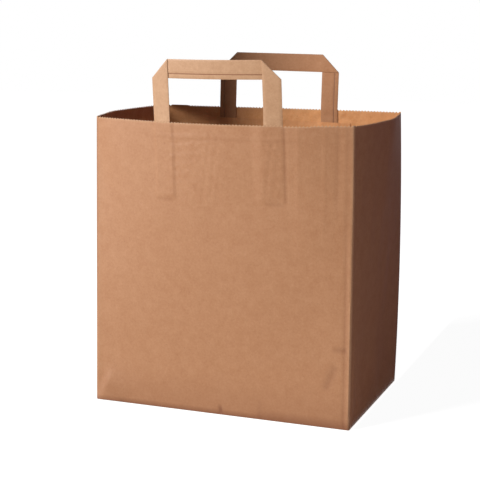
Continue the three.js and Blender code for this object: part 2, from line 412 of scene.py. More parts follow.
@dataclass(frozen=True)
class PaperRelief:
    """Where the panels aren't flat: calm waves, creases, and what is glued behind them.

    All its places and heights are in millimetres, and a height is positive outward.
    It also gives the painted shade along edges, creases and the base.
    """

    front_handle: HandlePlace
    height: float = 280
    half_width: float = 130
    half_depth: float = 85
    leg_inner: float = 45
    leg_outer: float = 64
    leg_length: float = 72
    patch_top: float = 13.5
    patch_span: tuple[float, float] = (-62, 76)

    # How far from an upright crease, and above the lowest fold, the paper is held flat.
    panel_margin: float = 12
    gusset_margin: float = 10
    base_margin: float = 20

    # How high the calm waves of a panel are.
    front_waves: float = 0.3
    rear_waves: float = 0.4
    gusset_waves: float = 0.5

    # How far the paper stands out, in or puckered where something is glued behind it.
    over_left_leg: float = 0.5
    tent_to_right_leg: float = 0.8
    slope_over_right_leg: float = 0.9
    gap_past_right_leg: float = 0.36
    swell_past_right_leg: float = 0.45
    over_patch_edge: float = 0.17
    pucker_between_legs: float = 0.18
    pucker_over_leg: float = 0.15
    rear_pucker: float = 0.22
    corner_lift: float = 2.0

    # The narrow strip along the right edge: its width, and how far it and its crease stand.
    strip: float = 6
    strip_turn: float = 0.45
    strip_crease: float = 0.25

    # How dark the painted shade is along edges, creases and the base, from 0 to 1.
    dark_beside_leg: float = 0.22
    dark_past_leg: float = 0.3
    dark_patch_edge: float = 0.08
    dark_strip_crease: float = 0.3
    dark_left_edge: float = 0.5
    dark_foot: float = 0.25
    dark_lowest_fold: float = 0.7
    dark_rear_crease: float = 0.6

    # Creases of the front panel: first and last point, width and height.
    creases: tuple[tuple[tuple[float, float], tuple[float, float], float, float], ...] = (
        ((81, 282), (80, 200), 3.2, 0.18),
        ((105, 282), (103, 180), 3.2, 0.16),
        ((116, 282), (115, 205), 3.2, -0.16),
        ((122, 280), (121, 190), 3.0, 0.16),
        ((113, 74.5), (126, 75.5), 2.6, -0.45),
        ((116, 60), (106, 38), 7.0, -0.4),
        ((2.7, -5), (2.7, 10), 3.4, -0.8),
        ((42, 0), (43, 17), 4.0, -0.15),
        ((38, 5.8), (140, 6.6), 3.0, -0.3),
    )

    # Dents of the front panel's left edge: middle, width and depth.
    dents: tuple[tuple[float, float, float, float], ...] = (
        (-121, 93, 9, 0.25),
        (-121, 167, 9, 0.25),
    )

    def front(self, x: np.ndarray, z: np.ndarray) -> np.ndarray:
        """Give the front panel's relief.

        Args:
            x: Places along the panel from its middle.
            z: Heights above the base.

        Returns:
            How far the surface stands outward.
        """
        calm = self._free(self.half_width - np.abs(x), z, self.panel_margin)
        waves = undulation(x, z, seed=11, shortest=30, longest=120, tall=1.6)
        relief = self.front_waves * waves * calm
        relief += self._legs_showing(x, z) + self._glue_showing(x, z)
        relief += self._corner_strip(x, z) + self._lifted_corner(x, z)
        for start, end, width, height in self.creases:
            relief += height * fold_line(x, z, start, end, width)
        for middle_x, middle_z, width, depth in self.dents:
            relief -= depth * hump(np.hypot(x - middle_x, z - middle_z), 0, width)
        return relief

    def rear(self, x: np.ndarray, z: np.ndarray) -> np.ndarray:
        """Give the rear panel's relief.

        Args:
            x: Places along the panel from its middle.
            z: Heights above the base.

        Returns:
            How far the surface stands outward.
        """
        calm = self._free(self.half_width - np.abs(x), z, self.panel_margin)
        waves = undulation(x, z, seed=23, shortest=30, longest=120, tall=1.6)
        glued = calm * soft_step(z, 190, 230)
        pucker = undulation(x, z, seed=83, shortest=6, longest=16)
        return self.rear_waves * waves * calm + self.rear_pucker * pucker * glued

    def gusset(self, y: np.ndarray, z: np.ndarray, seed: int) -> np.ndarray:
        """Give a gusset's relief."""
        calm = self._free(self.half_depth - np.abs(y), z, self.gusset_margin)
        return self.gusset_waves * undulation(y, z, seed, shortest=26, longest=90, tall=1.8) * calm

    def _free(self, from_crease: np.ndarray, z: np.ndarray, margin: float) -> np.ndarray:
        """Be 0 where the upright creases and the lowest fold hold the paper, and 1 beyond them."""
        return soft_step(from_crease, 0, margin) * soft_step(z, 0, self.base_margin)

    def _legs_showing(self, x: np.ndarray, z: np.ndarray) -> np.ndarray:
        """Raise the front panel over the handle's legs, which are glued behind it.

        Args:
            x: Places along the panel from its middle.
            z: Heights above the base.

        Returns:
            How far the surface stands outward.
        """
        s, up = self.front_handle.local(x, z - self.height)
        on_leg = soft_step(up, -self.leg_length - 1.5, -self.leg_length + 0.5)
        left = self.over_left_leg * soft_band(s, -self.leg_outer + 2, -self.leg_inner, 2.2)

        # The right leg wasn't pressed flat, so the paper tents up to it and slopes over it.
        tent = self.tent_to_right_leg * soft_step(s, self.leg_inner - 12, self.leg_inner)
        over = np.clip((s - self.leg_inner) / (self.leg_outer - self.leg_inner), 0, 1)
        slope = self.slope_over_right_leg * over
        gap = self.gap_past_right_leg * hump(s, self.leg_outer + 1.5, 3.0)
        beyond = soft_step(s, self.leg_outer + 3, 80) - soft_step(s, 80, 118)
        swell = self.swell_past_right_leg * beyond * soft_step(z, 120, 200)
        return (left + tent - slope - gap) * on_leg + swell

    def _glue_showing(self, x: np.ndarray, z: np.ndarray) -> np.ndarray:
        """Pucker the front panel where the patch and the right leg are glued behind it.

        Args:
            x: Places along the panel from its middle.
            z: Heights above the base.

        Returns:
            How far the surface stands outward.
        """
        s, up = self.front_handle.local(x, z - self.height)
        ridge = self.over_patch_edge * hump(up, -self.patch_top, 2.8)
        ridge *= soft_band(s, *self.patch_span, 4)
        between_legs = self.pucker_between_legs * soft_band(x, -40, 0, 12)
        on_leg = soft_band(s, self.leg_inner + 2, self.leg_outer - 3, 4)
        over_leg = self.pucker_over_leg * on_leg
        pucker = (between_legs + over_leg) * soft_band(z, 210, 268, 6)
        return ridge + pucker * undulation(x, z, seed=71, shortest=4, longest=9)

    def _corner_strip(self, x: np.ndarray, z: np.ndarray) -> np.ndarray:
        """Turn up a narrow strip along the right edge, beside the line of its first crease.

        Args:
            x: Places along the panel from its middle.
            z: Heights above the base.

        Returns:
            How far the surface stands outward.
        """
        line = self.half_width - self.strip
        turned_up = self.strip_turn * soft_step(x, line, self.half_width)
        low_down = 1 - soft_step(z, 150, 215)
        return (turned_up - self.strip_crease * hump(x, line, 3.2)) * low_down

    def painted_shade(self, x: np.ndarray, z: np.ndarray) -> np.ndarray:
        """Give the front panel's painted shade, along its glued edges, creases and base.

        Args:
            x: Places along the panel from its middle.
            z: Heights above the base.

        Returns:
            0 for plain paper, and more where shade is painted.
        """
        s, up = self.front_handle.local(x, z - self.height)
        # Painted shadows right of the raised legs, under their ends and under the patch's edge, and
        # painted shade in the creases and near both side edges.
        beside_legs = soft_band(up, -self.leg_length + 2, -4, 4)
        lines = self.dark_beside_leg * hump(s, -self.leg_inner + 1.2, 2.6) * beside_legs
        lines += self.dark_past_leg * hump(s, self.leg_outer + 0.8, 2.6) * beside_legs
        over_legs = soft_band(np.abs(s), self.leg_inner + 2, self.leg_outer - 2, 2)
        lines += self.dark_beside_leg * hump(up, -self.leg_length - 0.5, 3.0) * over_legs
        patch_edge = hump(up, -self.patch_top - 2, 3.0) * soft_band(s, *self.patch_span, 4)
        lines += self.dark_patch_edge * patch_edge
        for start, end, width, height in self.creases:
            lines += max(-height, 0) * fold_line(x, z, start, end, width)
        fading = 1 - 0.6 * soft_step(z, 130, 215)
        lines += self.dark_strip_crease * hump(x, self.half_width - self.strip, 3.0) * fading
        lines += self.dark_left_edge * hump(x, -self.half_width, 4.0) * soft_step(z, 60, 150)
        # Painted shade: darker towards the bottom and along the base fold.
        return lines + self.dark_foot * (1 - soft_step(z, 0, 50)) + self._lowest_fold(z)

    def painted_shade_gusset(self, y: np.ndarray, z: np.ndarray) -> np.ndarray:
        """Give a gusset's painted shade, along its rear crease and its lowest fold."""
        return self.dark_rear_crease * hump(y, self.half_depth, 3.0) + self._lowest_fold(z)

    def _lowest_fold(self, z: np.ndarray) -> np.ndarray:
        """Give the painted shade along the fold round the base."""
        return self.dark_lowest_fold * (1 - soft_step(z, 0.6, 3))

    def _lifted_corner(self, x: np.ndarray, z: np.ndarray) -> np.ndarray:
        """Raise a low fold that runs up from the bottom left corner.

        Args:
            x: Places along the panel from its middle.
            z: Heights above the base.

        Returns:
            How far the surface stands outward.
        """
        away, share = along_line(x, z, (-127, -3), (-110, 34))
        flank = np.where(away > 0, 1 - away / 6, 1 + away / 26)
        return self.corner_lift * np.clip(flank, 0, 1) * soft_band(share, 0.0, 0.6, 0.5)


@dataclass(frozen=True)
class BagForm:
    """The box that the sheet is folded to, and how its panels bow when it stands open.

    A point is first given on the straight box, and ``stand`` then bows it.
    """

    relief: PaperRelief
    width: float = 260 * MM
    depth: float = 170 * MM
    height: float = 280 * MM
    paper: float = 0.2 * MM
    front_bow: float = 22 * MM
    rear_bow: float = 5 * MM
    gusset_bow: float = 7 * MM
    bow_growth: float = 1.2
    gusset_tip_inset: float = 2.5 * MM
    left_gusset_ridge: float = 10 * MM
    right_gusset_ridge: float = 4 * MM

    # The shares of the half width between which a gusset takes over from a wide panel.
    gusset_from: tuple[float, float] = (0.97, 0.985)

    # Over this height above the rim, what stands there stops following the panel's relief.
    free_of_panel: float = 20 * MM

    # How far the four corners of the rim stand from where a true box has them, because
    # the hand-opened bag is a little askew: front left, front right, rear right, rear left.
    corner_shifts: tuple[tuple[float, float], ...] = (
        (1.9 * MM, 1.9 * MM),
        (1.5 * MM, 0.9 * MM),
        (-0.6 * MM, -1.0 * MM),
        (-2.8 * MM, -2.9 * MM),
    )

    # How far the same four upright creases stand out of their straight lines half way up.
    crease_bulges: tuple[tuple[float, float], ...] = (
        (1.0 * MM, 0.0),
        (0.0, 0.0),
        (2.4 * MM, 0.4 * MM),
        (0.0, 0.0),
    )

    def bow_share(self, z: np.ndarray) -> np.ndarray:
        """Give the bow at a height as a share of the bow at the rim.

        Args:
            z: Heights above the base.

        Returns:
            The shares.
        """
        share = np.clip(z / self.height, 0, None)
        above = 1 + self.bow_growth * (share - 1)
        return np.where(share <= 1, share**self.bow_growth, above)

    def draw_in(self, bow: np.ndarray, length: float) -> np.ndarray:
        """Give how far a bow draws in each end of a panel that doesn't stretch."""
        return 4 * bow**2 / (3 * length)

    def gusset_fold(self, across: np.ndarray, z: np.ndarray, ridge: np.ndarray) -> np.ndarray:
        """Give how far a gusset's triangle and middle crease stand out of it.

        Args:
            across: Places from the gusset's front edge at -1 to its rear edge at 1.
            z: Heights above the base.
            ridge: How far the middle crease stands out at the rim.

        Returns:
            How far the gusset stands outward.
        """
        tip = self.depth / 2
        share = np.clip(np.minimum(z / tip, 1 - np.abs(across)), 0, None)
        climb = np.clip((z - tip) / (self.height - tip), 0, None)
        return share * (-self.gusset_tip_inset + climb * (ridge + self.gusset_tip_inset))

    def stand(self, points: Points) -> Points:
        """Bow the straight box as it stands.

        Args:
            points: Places on or near the straight box.

        Returns:
            The same places on the standing bag.
        """
        x, y, z = points.T
        share = self.bow_share(z)
        across, along = x / (self.width / 2), y / (self.depth / 2)
        bow = np.where(y < 0, self.front_bow, self.rear_bow) * share
        lean_y = np.sign(y) * bow * np.clip(1 - across**2, 0, 1)

        on_gusset = soft_step(np.abs(across), *self.gusset_from)
        gusset_arch = self.gusset_bow * share * np.clip(1 - along**2, 0, 1)
        ridge = np.where(x < 0, self.left_gusset_ridge, self.right_gusset_ridge)
        lean_x = np.sign(x) * (gusset_arch + self.gusset_fold(along, z, ridge)) * on_gusset

        front_draw = self.draw_in(self.front_bow * share, self.width)
        rear_draw = self.draw_in(self.rear_bow * share, self.width)
        draw_x = front_draw + (rear_draw - front_draw) * np.clip((1 + along) / 2, 0, 1)
        draw_y = self.draw_in(self.gusset_bow * share, self.depth)

        lean = np.hypot(lean_x, lean_y)
        lowered = np.sqrt(np.clip(z**2 - lean**2, 0, None))
        standing = np.where(z > lean, lowered, z)
        new_x = x - across * draw_x + lean_x
        new_y = y - along * draw_y + lean_y
        return self.askew(np.column_stack([new_x, new_y, standing]), across, along, share)

    def askew(self, points: Points, across: np.ndarray, along: np.ndarray, share: np.ndarray) -> Points:
        """Shift the four corners of the rim, and what lies between them in proportion.

        Args:
            points: Places on the bowed bag.
            across: Their places from the left at -1 to the right at 1.
            along: Their places from the front at -1 to the rear at 1.
            share: The share of a corner's whole shift at their heights.

        Returns:
            The shifted places.
        """
        right, back = np.clip((1 + across) / 2, 0, 1), np.clip((1 + along) / 2, 0, 1)
        weights = [(1 - right) * (1 - back), right * (1 - back), right * back, (1 - right) * back]
        up = np.clip(points[:, 2] / self.height, 0, 1)
        shape = np.column_stack([share, 4 * up * (1 - up)])
        moved = points.copy()
        for weight, *shifts in zip(weights, self.corner_shifts, self.crease_bulges):
            moved[:, :2] += weight[:, None] * (shape @ np.array(shifts))
        return moved

    def against_panel(self, side: Side) -> Reshape:
        """Make the step that lays a flat thing against a wide panel's inside.

        Args:
            side: The panel.

        Returns:
            A step from places (along the panel, depth inward, height) to the standing bag.
        """

        def lay(points: Points) -> Points:
            """Lay the points at their depth inward of the panel.

            Args:
                points: Places along the panel, inward of it and above the base.

            Returns:
                The places on the standing bag.
            """
            s, inward, z = points.T
            within = 1 - soft_step(z, self.height, self.height + self.free_of_panel)
            show = self.relief.front if side is Side.FRONT else self.relief.rear
            skin_y = self.depth / 2 + show(s / MM, np.minimum(z, self.height) / MM) * within * MM
            skin = np.column_stack([s, side.value * skin_y, z])
            slope = 2 * s / (self.width / 2) ** 2 * self.bow_of(side) * self.bow_share(z)
            turn = np.hypot(1, slope)
            normal = np.column_stack([-slope / turn, -side.value / turn, np.zeros_like(s)])
            return self.stand(skin) + normal * inward[:, None]

        return lay

    def bow_of(self, side: Side) -> float:
        """Give a wide panel's bow at the rim."""
        return self.front_bow if side is Side.FRONT else self.rear_bow


# Finishes


def linear(colour: str) -> tuple[float, float, float, float]:
    """Turn an sRGB hex colour into the linear values that a shader takes.

    Args:
        colour: The colour as #rrggbb.

    Returns:
        Linear red, green and blue, and full alpha.
    """
    shares = [int(colour[i : i + 2], 16) / 255 for i in (1, 3, 5)]
    values = [v / 12.92 if v <= 0.04045 else ((v + 0.055) / 1.055) ** 2.4 for v in shares]
    return (*values, 1.0)


# Sockets of a Mix node that mixes colours, by number because several share a name.
MIX_SHARE, MIX_UNDER, MIX_OVER, MIX_RESULT = 0, 6, 7, 2


def add_node(
    tree: bpy.types.NodeTree, kind: str, inputs: dict[str | int, object] | None = None, **settings: object
) -> bpy.types.Node:
    """Add a node with its settings and its inputs.

    Args:
        tree: The node tree.
        kind: The node's type.
        inputs: Values or sockets for its inputs, by name or number.
        settings: Values for the node's own properties.

    Returns:
        The node.
    """
    node = tree.nodes.new(kind)
    for name, value in settings.items():
        setattr(node, name, value)
    for name, value in (inputs or {}).items():
        if isinstance(value, bpy.types.NodeSocket):
            tree.links.new(value, node.inputs[name])
        else:
            node.inputs[name].default_value = value
    return node


def blank_material(name: str) -> bpy.types.Material:
    """Make a material whose node tree is still empty.

    Args:
        name: The material's name.

    Returns:
        The material.
    """
    material = bpy.data.materials.new(name)
    material.use_nodes = True
    material.node_tree.nodes.clear()
    return material


@dataclass(frozen=True)
class KraftPaper:
    """Unbleached kraft paper, smoothed and pressed on the paper machine.

    The eye gets a warm brown that is cloudy where the pulp lies unevenly, faint streaks
    along the machine direction, a few dark specks of bark, and a soft, broad gloss where
    the light strikes it at the mirror angle.
    """

    name: str
    brown: str = "#ad7951"
    thin_pulp: str = "#b7855f"
    thick_pulp: str = "#a36d46"
    bark: str = "#6d4526"
    # Paler colour of folds and rim: worn fibres, partly a painted highlight.
    wear_and_highlight: str = "#d8b08a"
    # The colour of the painted shade along creases, glued edges and the base.
    painted_shade: str = "#7d4a29"
    # The length of a fibre bundle along X, Y and Z: the paper's machine direction is upright.
    fibre: tuple[float, float, float] = (1.1 * MM, 1.1 * MM, 9 * MM)
    cloud: float = 9 * MM
    floc: float = 2.2 * MM
    speck: float = 1.3 * MM
    floc_height: float = 0.1 * MM
    fibre_height: float = 0.05 * MM
    bump_strength: float = 0.5
    roughness: float = 0.52
    ior: float = 1.5

    def material(self) -> bpy.types.Material:
        """Make the paper's material.

        Returns:
            The material.
        """
        material = blank_material(self.name)
        tree = material.node_tree
        place = add_node(tree, "ShaderNodeTexCoord").outputs["Object"]
        scale = [1 / length for length in self.fibre]
        stretched = add_node(tree, "ShaderNodeMapping", {"Vector": place, "Scale": scale}).outputs[0]
        patterns, shares = {}, {}
        for pattern, vector, size, detail, roughness in (
            ("clouds", place, self.cloud, 4, 0.62),
            ("flocs", place, self.floc, 3, 0.7),
            ("specks", place, self.speck, 2, 0.5),
            ("fibres", stretched, 1, 3, 0.6),
        ):
            settings = {"Vector": vector, "Scale": 1 / size, "Detail": detail, "Roughness": roughness}
            patterns[pattern] = add_node(tree, "ShaderNodeTexNoise", settings).outputs["Fac"]
        for pattern, low, high, most in (
            ("clouds", 0.3, 0.7, 0.5),
            ("flocs", 0.3, 0.7, 0.5),
            ("specks", 0.68, 0.76, 0.3),
            ("fibres", 0.35, 0.75, 0.55),
        ):
            limits = {"Value": patterns[pattern], "From Min": low, "From Max": high, "To Max": most}
            shares[pattern] = add_node(tree, "ShaderNodeMapRange", limits).outputs[0]
        thin = {0: shares["clouds"], 1: shares["flocs"]}
        shares["pulp"] = add_node(tree, "ShaderNodeMath", thin, operation="ADD").outputs[0]
        # Marks stored on the mesh: paler folds and rim, partly a painted highlight, and painted shade.
        for mark in ("wear_and_highlight", "painted_shade"):
            shares[mark] = add_node(tree, "ShaderNodeAttribute", attribute_name=mark).outputs["Fac"]
        colour = linear(self.thick_pulp)
        for share, over in (
            ("pulp", self.thin_pulp),
            ("fibres", self.brown),
            ("specks", self.bark),
            ("wear_and_highlight", self.wear_and_highlight),
            ("painted_shade", self.painted_shade),
        ):
            layers = {MIX_SHARE: shares[share], MIX_UNDER: colour, MIX_OVER: linear(over)}
            colour = add_node(tree, "ShaderNodeMix", layers, data_type="RGBA").outputs[MIX_RESULT]
        facing = {}
        for pattern, height in (("flocs", self.floc_height), ("fibres", self.fibre_height)):
            bump = {"Strength": self.bump_strength, "Distance": height, "Height": patterns[pattern]}
            facing = {"Normal": add_node(tree, "ShaderNodeBump", bump | facing).outputs[0]}
        gloss = {"Base Color": colour, "Roughness": self.roughness, "IOR": self.ior}
        surface = add_node(tree, "ShaderNodeBsdfPrincipled", gloss | facing)
        add_node(tree, "ShaderNodeOutputMaterial", {"Surface": surface.outputs[0]})
        return material


@dataclass(frozen=True)
class FibreEdge:
    """The cut edge of kraft paper: torn fibre ends, paler and duller than its face.

    A seam whose glue has soaked into the ends is the same, but dark and smoother; its darkness is partly a
    painted shadow beside the ply's edge.
    """

    name: str = "kraft_cut_edge"
    dark: str = "#b98558"
    pale: str = "#d2a67c"
    fibre_end: float = 0.6 * MM
    roughness: float = 0.9

    def material(self) -> bpy.types.Material:
        """Make the edge's material.

        Returns:
            The material.
        """
        material = blank_material(self.name)
        tree = material.node_tree
        place = add_node(tree, "ShaderNodeTexCoord").outputs["Object"]
        fineness = {"Vector": place, "Scale": 1 / self.fibre_end, "Detail": 2}
        ends = add_node(tree, "ShaderNodeTexNoise", fineness).outputs["Fac"]
        shades = {MIX_SHARE: ends, MIX_UNDER: linear(self.dark), MIX_OVER: linear(self.pale)}
        colour = add_node(tree, "ShaderNodeMix", shades, data_type="RGBA").outputs[MIX_RESULT]
        dull = {"Base Color": colour, "Roughness": self.roughness}
        surface = add_node(tree, "ShaderNodeBsdfPrincipled", dull)
        add_node(tree, "ShaderNodeOutputMaterial", {"Surface": surface.outputs[0]})
        return material


# Sub-assemblies


@dataclass
class BagBody:
    """The folded sheet: four walls in one tube of paper, and the satchel bottom."""

    form: BagForm
    face: bpy.types.Material
    inside: bpy.types.Material
    edge: bpy.types.Material
    crease_radius: float = 1.6 * MM
    base_fold_radius: float = 1.2 * MM
    tooth_depth: float = 1.3 * MM
    flap_overlap: float = 30 * MM
    seam_width: float = 18 * MM
    seam_from_corner: float = 12 * MM
    seam_above_base: float = 3 * MM
    seam_glue: float = 0.2 * MM
    seam_facets: tuple[int, int] = (10, 80)
    rim_dip: float = 0.7 * MM
    rim_dip_span: tuple[float, float] = (70 * MM, 90 * MM)
    rim_dip_edge: float = 6 * MM
    rim_dip_share: float = 0.1
    flap_inset: float = 0.6 * MM
    flap_cuts: tuple[int, int] = (23, 15)
    floor_lift: float = 0.9 * MM
    floor_waves: float = 0.4 * MM
    floor_margin: float = 25 * MM
    # How pale the paper is along its folds, most at the front right corner, and at the rim, where worn cut
    # fibres and a painted highlight make it paler.
    pale_fold: float = 0.3
    pale_fold_elsewhere: float = 0.05
    pale_fold_width: float = 3.2 * MM
    rim_wear_and_highlight: float = 0.8
    rim_wear_and_highlight_width: float = 2.2 * MM
    half_panel_cuts: int = 78
    half_gusset_cuts: int = 50
    row_cuts: int = 86
    rim_row_share: float = 0.45
    pieces: list[bpy.types.Object] = field(default_factory=list)

    def build(self) -> None:
        """Model the walls and the bottom."""
        self.pieces = [self._walls(), self._seam(), self._bottom()]

    def dress(self) -> None:
        """Hang the pieces on the frame in the sheet's place."""
        for piece in self.pieces:
            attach(piece, "root")
            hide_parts("bag_body")
            log.info("%s: %d faces", piece.name, len(piece.data.polygons))

    def _walls(self) -> bpy.types.Object:
        """Model the four walls as one tube of paper with a saw-tooth rim.

        Returns:
            The walls.
        """
        form = self.form
        half = Vector((form.width / 2, form.depth / 2, 0))
        walls = add_box("bag_walls", -half, half + Vector((0, 0, form.height)))
        close = 0.1 * MM
        with editing(walls):
            pick_faces(walls, lambda face: face.normal.z > 0.5)
            bpy.ops.mesh.delete(type="FACE")
            pick_edges(walls, lambda a, b: abs(a.z - b.z) > form.height / 2)
            bpy.ops.mesh.bevel(offset=self.crease_radius, segments=3, affect="EDGES")
            pick_edges(walls, lambda a, b: max(a.z, b.z) < close)
            bpy.ops.mesh.bevel(offset=self.base_fold_radius, segments=2, affect="EDGES")
            pick_faces(walls, lambda face: face.normal.z < -0.999)
            bpy.ops.mesh.delete(type="FACE")
            for axis, cuts in ((0, self.half_panel_cuts), (1, self.half_gusset_cuts)):
                length = (form.width, form.depth)[axis]
                cut_along(walls, axis, length / 2, 1)
                cut_along(walls, axis, length / 4, cuts)
            cut_along(walls, 2, form.height / 2, self.row_cuts)
        reshape(walls, self._finer_rows)
        straight = points_of(walls)
        # Paler along the folds and at the rim: worn cut fibres, partly a painted highlight.
        record(walls, "wear_and_highlight", self._wear_and_highlight(straight))
        # Painted shade along the front panel's glued edges and creases, the gussets' rear creases, and the
        # base.
        on_front = straight[:, 1] < -form.depth / 2 + self.crease_radius + close
        on_gusset = np.abs(straight[:, 0]) > form.width / 2 - close
        x, y, z = straight.T / MM
        on_wide = np.where(on_front, form.relief.painted_shade(x, z), 0)
        painted_shade = np.where(on_gusset, form.relief.painted_shade_gusset(y, z), on_wide)
        record(walls, "painted_shade", np.clip(painted_shade, 0, 1))
        reshape(walls, self._saw_teeth, self._relief, form.stand)
        for material in (self.face, self.edge, self.inside):
            walls.data.materials.append(material)
        thicken(walls, form.paper, -1, inner_material=2)
        smooth(walls)
        return walls

    def _finer_rows(self, points: Points) -> Points:
        """Draw the rows of facets together towards the rim.

        Args:
            points: Places on the straight walls.

        Returns:
            The same places, with finer rows near the rim.
        """
        moved = points.copy()
        low, high = self.base_fold_radius, self.form.height
        down = np.clip((high - points[:, 2]) / (high - low), 0, 1)
        finer = down * (self.rim_row_share + (1 - self.rim_row_share) * down)
        wall = points[:, 2] > low
        moved[wall, 2] = (high - (high - low) * finer)[wall]
        return moved

    def _saw_teeth(self, points: Points) -> Points:
        """Cut the rim to teeth: every second point of the rim stands lower.

        Args:
            points: Places on the straight walls.

        Returns:
            The places with the teeth cut.
        """
        form = self.form
        moved = points.copy()
        on_rim = points[:, 2] > form.height - TOUCH
        for axis, length, cuts in (
            (0, form.width, self.half_panel_cuts),
            (1, form.depth, self.half_gusset_cuts),
        ):
            across = points[:, 1 - axis]
            limit = (form.depth, form.width)[axis] / 2
            on_wall = on_rim & (np.abs(across) > limit - TOUCH)
            start = length / 2 - self.crease_radius
            step = start / (cuts + 1)
            number = np.round((points[:, axis] + start) / step).astype(int)
            moved[on_wall & (number % 2 == 1), 2] -= self.tooth_depth
        sagging = soft_band(points[:, 0], *self.rim_dip_span, self.rim_dip_edge) * (points[:, 1] < 0)
        from_height = (1 - self.rim_dip_share) * form.height
        moved[:, 2] -= self.rim_dip * sagging * soft_step(points[:, 2], from_height, form.height)
        return moved

    def _wear_and_highlight(self, points: Points) -> np.ndarray:
        """Give how pale the paper is along its folds and at the rim, where it is partly a painted
        highlight.

        Args:
            points: Places on the straight walls.

        Returns:
            0 for plain paper to 1 for the palest.
        """
        form = self.form
        x, y, z = points.T
        from_corner = np.hypot(form.width / 2 - np.abs(x), form.depth / 2 - np.abs(y))
        pale_fold = np.where((x > 0) & (y < 0), self.pale_fold, self.pale_fold_elsewhere)
        folds = pale_fold * hump(from_corner, 0, self.pale_fold_width)
        # A painted highlight along the rim, over its worn cut fibres.
        rim = self.rim_wear_and_highlight * hump(z, form.height, self.rim_wear_and_highlight_width)
        return np.clip(folds + rim, 0, 1)

    def _relief(self, points: Points) -> Points:
        """Push the panels out and in where the paper isn't flat.

        Args:
            points: Places on the straight walls.

        Returns:
            The places with the paper's relief.
        """
        form = self.form
        relief = form.relief
        moved = points.copy()
        x, y, z = points.T / MM
        touch = TOUCH / MM
        on_front, on_rear = y < -relief.half_depth + touch, y > relief.half_depth - touch
        on_left, on_right = x < -relief.half_width + touch, x > relief.half_width - touch
        moved[on_front, 1] -= relief.front(x[on_front], z[on_front]) * MM
        moved[on_rear, 1] += relief.rear(x[on_rear], z[on_rear]) * MM
        moved[on_left, 0] -= relief.gusset(y[on_left], z[on_left], seed=31) * MM
        moved[on_right, 0] += relief.gusset(y[on_right], z[on_right], seed=47) * MM
        return moved

    def _seam(self) -> bpy.types.Object:
        """Model the lap of the side seam, glued inside the rear panel near its left corner.

        Returns:
            The lap.
        """
        form = self.form
        height = form.height - self.seam_above_base
        lap = add_sheet("bag_seam", self.seam_width, height, *self.seam_facets)

        def to_place(points: Points) -> Points:
            """Move the lap beside the corner, one sheet's thickness inside the panel.

            Args:
                points: Places on the flat lap.

            Returns:
                The places along the panel, inward of it and above the base.
            """
            moved = points.copy()
            moved[:, 0] += -form.width / 2 + self.seam_from_corner + self.seam_width / 2
            moved[:, 1] = form.paper + self.seam_glue
            moved[:, 2] += self.seam_above_base
            return moved

        reshape(lap, to_place, form.against_panel(Side.REAR))
        lap.data.materials.append(self.inside)
        lap.data.materials.append(self.edge)
        thicken(lap, form.paper, 1)
        smooth(lap)
        return lap

    def _bottom(self) -> bpy.types.Object:
        """Model the satchel bottom: rear flap, front flap, folded corners and side flaps.

        Returns:
            The bottom.
        """
        form = self.form
        reach = form.depth / 2 + self.flap_overlap / 2
        half_width, half_depth = form.width / 2 - self.flap_inset, form.depth / 2 - self.flap_inset
        tip_x, tip_y = form.width / 2 - reach, form.depth / 2 - reach
        layers = []
        for level, way in ((0, 1), (1, -1)):
            corners = [(-half_width, way * half_depth), (half_width, way * half_depth)]
            corners += [(tip_x, way * tip_y), (-tip_x, way * tip_y)]
            layers.append(self._flap(level, corners))
        for side in (-1, 1):
            for way in (-1, 1):
                corner = (side * half_width, way * half_depth)
                inner = (side * tip_x, way * half_depth)
                tip = (side * tip_x, way * tip_y)
                layers.append(self._flap(2, [corner, inner, tip, tip]))
            corners = [(side * half_width, -half_depth), (side * half_width, half_depth)]
            corners += [(side * tip_x, half_depth), (side * tip_x, -half_depth)]
            layers.append(self._flap(3, corners))
        bottom = join("bag_bottom", layers)
        bottom.data.materials.append(self.edge)
        smooth(bottom)
        return bottom

    def _flap(self, level: int, corners: list[tuple[float, float]]) -> bpy.types.Object:
        """Model one ply of the bottom as a thin sheet between four corners.

        Args:
            level: How many plies lie below it.
            corners: Its corners in order round it.

        Returns:
            The flap.
        """
        paper = self.form.paper
        flap = add_box("flap", Vector((0, 0, 0)), Vector((1, 1, paper)))
        with editing(flap):
            for axis, cuts in enumerate(self.flap_cuts):
                cut_along(flap, axis, 0.5, cuts)
        first, second, third, fourth = (np.array(corner) for corner in corners)

        def spread(points: Points) -> Points:
            """Stretch the unit sheet between its four corners.

            Args:
                points: Places on the unit sheet.

            Returns:
                The places on the flap.
            """
            a, b = points[:, :1], points[:, 1:2]
            place = (1 - a) * (1 - b) * first + a * (1 - b) * second + a * b * third + (1 - a) * b * fourth
            return np.column_stack([place, points[:, 2] + level * paper])

        reshape(flap, spread, self._floor_waves)
        make_active(flap)
        bpy.ops.object.mode_set(mode="EDIT")
        bpy.ops.mesh.select_all(action="SELECT")
        bpy.ops.mesh.remove_doubles(threshold=TOUCH)
        bpy.ops.mesh.normals_make_consistent(inside=False)
        bpy.ops.object.mode_set(mode="OBJECT")
        flap.data.materials.append(self.inside)
        return flap

    def _floor_waves(self, points: Points) -> Points:
        """Lift the middle of the bottom a little off the ground, all plies alike.

        Args:
            points: Places on the flat bottom.

        Returns:
            The lifted places.
        """
        form = self.form
        x, y = points[:, 0], points[:, 1]
        inside = soft_step(form.width / 2 - np.abs(x), 0, self.floor_margin)
        inside *= soft_step(form.depth / 2 - np.abs(y), 0, self.floor_margin)
        waves = undulation(x / MM, y / MM, seed=5, shortest=35, longest=120)
        moved = points.copy()
        moved[:, 2] += inside * (self.floor_lift + self.floor_waves * waves)
        return moved


